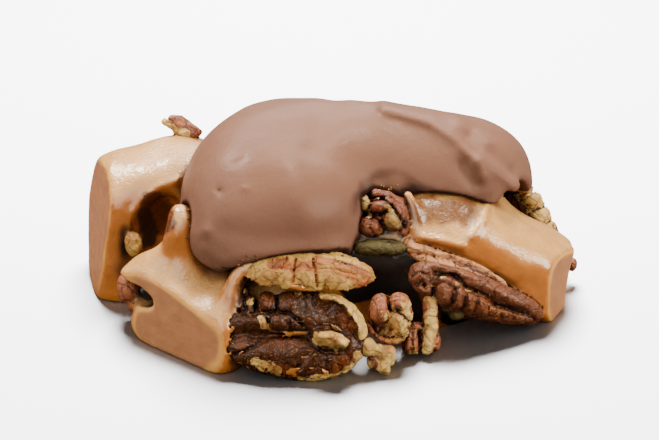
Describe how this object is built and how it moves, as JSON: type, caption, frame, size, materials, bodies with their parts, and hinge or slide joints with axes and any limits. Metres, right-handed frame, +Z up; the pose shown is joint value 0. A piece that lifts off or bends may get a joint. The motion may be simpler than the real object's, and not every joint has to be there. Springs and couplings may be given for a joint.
{
  "type": "pecan caramel cluster",
  "caption": "Candy cluster: pecan halves and broken bits set in soft, knife-cut caramel, under a thick rounded pour of milk chocolate.",
  "frame": {"origin": "middle of the footprint's bounding box, on the surface that the cluster rests on", "axes": "+Z up, +X to the right and +Y away from the pictured side"},
  "size_m": [0.0774, 0.0604, 0.0295],
  "materials": {
    "caramel": "glossy soft caramel, dull tan where a knife cut it",
    "chocolate": "satin milk chocolate",
    "pecan": "matte wrinkled skin, cream where broken"
  },
  "bodies": {
    "root": {"caramel": "caramel", "chocolate": "chocolate", "pecan_front": "pecan", "pecan_upper": "pecan", "pecan_right": "pecan", "pecan_right_inner": "pecan", "pecan_east": "pecan", "pecan_west_tip": "pecan", "pecan_north_west": "pecan", "pecan_north": "pecan", "pecan_bit_notch": "pecan", "pecan_bit_shadow": "pecan", "pecan_bit_hook": "pecan", "pecan_bit_branch": "pecan", "pecan_bit_stalk": "pecan", "pecan_bit_under": "pecan", "pecan_bit_pocket": "pecan", "pecan_bit_west": "pecan"}
  },
  "joints": []
}
